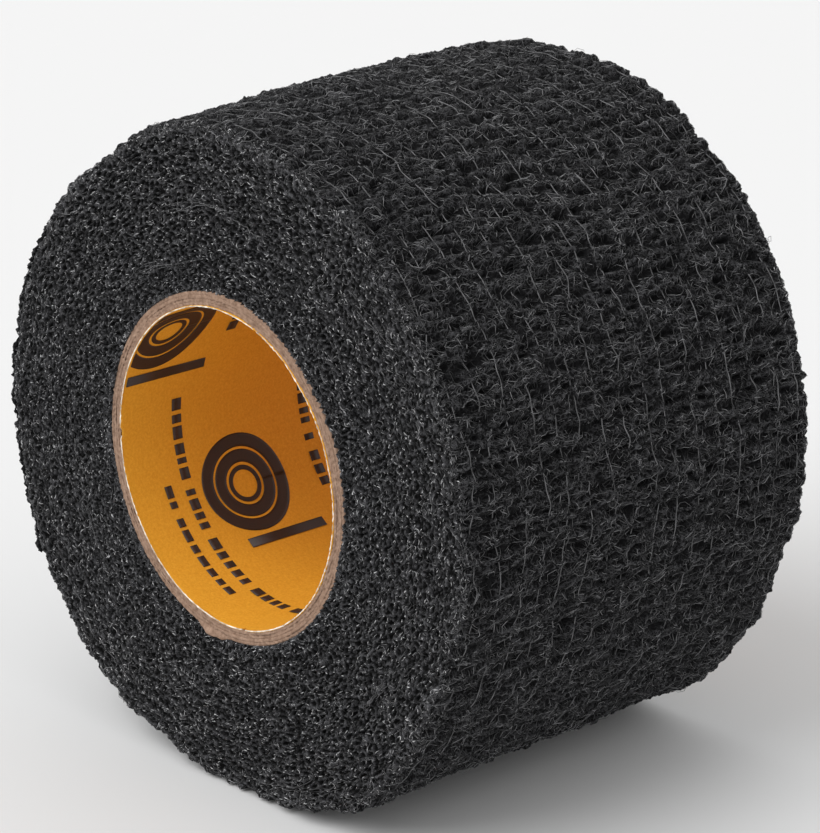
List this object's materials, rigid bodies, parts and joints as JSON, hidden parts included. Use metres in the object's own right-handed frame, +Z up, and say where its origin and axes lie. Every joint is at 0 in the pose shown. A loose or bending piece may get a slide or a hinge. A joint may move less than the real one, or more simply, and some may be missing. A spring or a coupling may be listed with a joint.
{
  "type": "grip tape roll",
  "caption": "Roll of black self-clinging crinkled elastic grip tape on a printed cardboard core, lying on its curved side with the free end stuck down.",
  "frame": {"origin": "on the surface the roll lies on, under the middle of the roll", "axes": "+Y along the roll's axis, towards the end face turned away from the viewer; +Z up"},
  "size_m": [0.0553, 0.038, 0.055],
  "materials": {
    "crepe_nonwoven": "crinkled carded nonwoven, black, with short curly fibres and a dry latex bond",
    "elastic_yarn": "fine stretched elastic thread, charcoal grey",
    "kraft_board": "grey-brown kraft board, plain cut edge",
    "printed_liner_paper": "thin white paper printed orange with dark brown marks on the bore side"
  },
  "bodies": {
    "roll": {"core_liner": "printed_liner_paper", "core_inner_ply": "kraft_board", "core_middle_ply_a": "kraft_board", "core_middle_ply_b": "kraft_board", "core_outer_ply": "kraft_board", "tape_strip": "crepe_nonwoven", "elastic_yarn_01": "elastic_yarn", "elastic_yarn_02": "elastic_yarn", "elastic_yarn_03": "elastic_yarn", "elastic_yarn_04": "elastic_yarn", "elastic_yarn_05": "elastic_yarn", "elastic_yarn_06": "elastic_yarn", "elastic_yarn_07": "elastic_yarn", "elastic_yarn_08": "elastic_yarn", "elastic_yarn_09": "elastic_yarn", "elastic_yarn_10": "elastic_yarn", "elastic_yarn_11": "elastic_yarn", "elastic_yarn_12": "elastic_yarn", "elastic_yarn_13": "elastic_yarn", "elastic_yarn_14": "elastic_yarn", "elastic_yarn_15": "elastic_yarn", "elastic_yarn_16": "elastic_yarn"},
    "tail": {"tail_flap": "crepe_nonwoven", "tail_yarn_ends": "elastic_yarn"}
  },
  "joints": [
    {"name": "tail_peel", "type": "hinge", "parent": "roll", "child": "tail", "pos_m": [-0.02391, 0, 0.04115], "axis": [0, 1, 0], "range_deg": [0, 80]}
  ]
}
